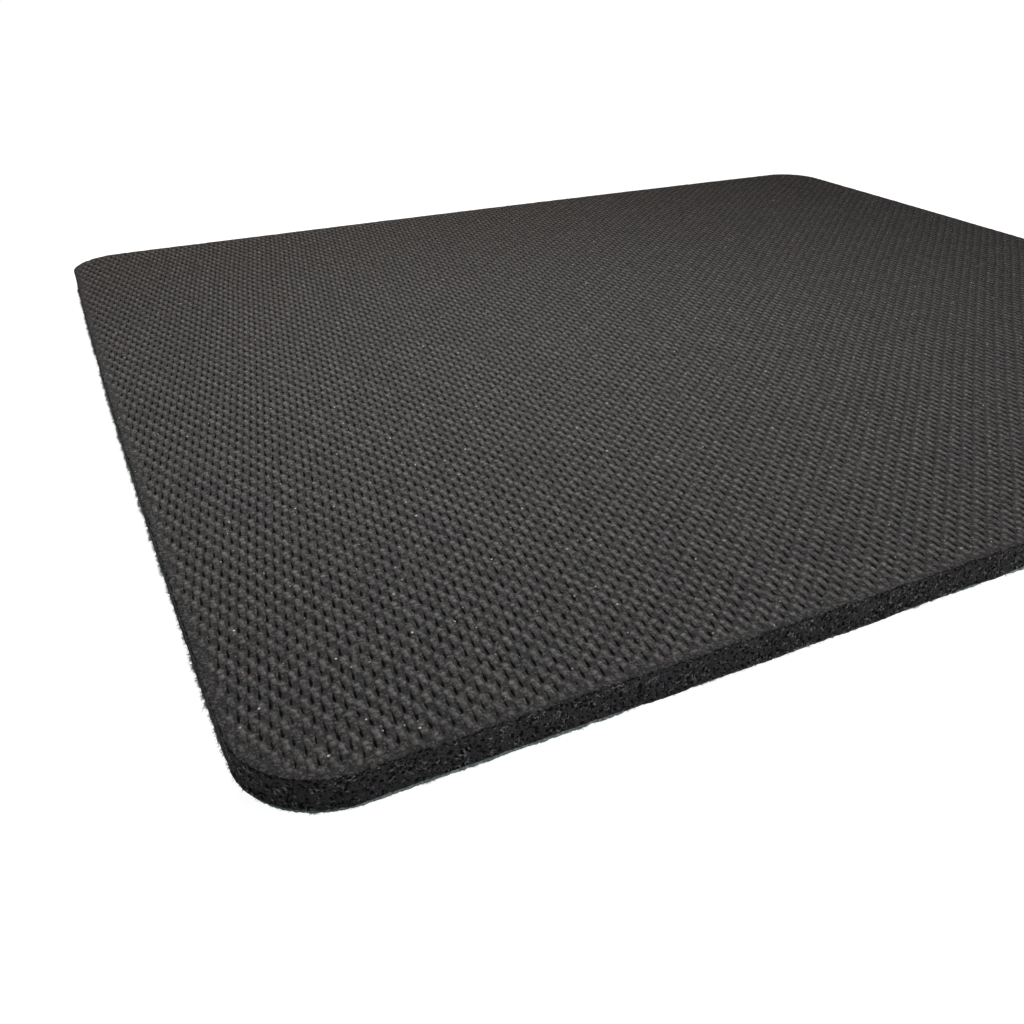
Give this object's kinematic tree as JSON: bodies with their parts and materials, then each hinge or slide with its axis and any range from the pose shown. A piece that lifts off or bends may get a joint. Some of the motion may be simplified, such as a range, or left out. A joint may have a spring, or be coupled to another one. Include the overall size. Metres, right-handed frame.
{
  "type": "mouse pad",
  "caption": "Soft rectangular mouse pad with rounded corners: a cloth working face laminated to sponge rubber with an embossed non-slip rubber base.",
  "frame": {"origin": "middle of the cloth working face, at the bottom of the pad as it lies in the picture", "axes": "+X along the long side, +Y along the short side, +Z out of the embossed rubber base. The pad is stored face down, as pictured, and is turned over half a turn about X or Y for use"},
  "size_m": [0.24, 0.2, 0.005],
  "materials": {
    "cloth": "fine knitted polyester, matte, with cut fibres standing out at the edge",
    "film": "thin hot-melt bonding film, hidden inside the laminate",
    "sponge": "open-cell sponge rubber, die-cut, with small dark pores",
    "skin": "matte black rubber embossed with a fine woven pattern"
  },
  "bodies": {
    "root": {"cloth_cover": "cloth", "bonding_film": "film", "sponge_core": "sponge", "grip_skin": "skin"}
  },
  "joints": []
}
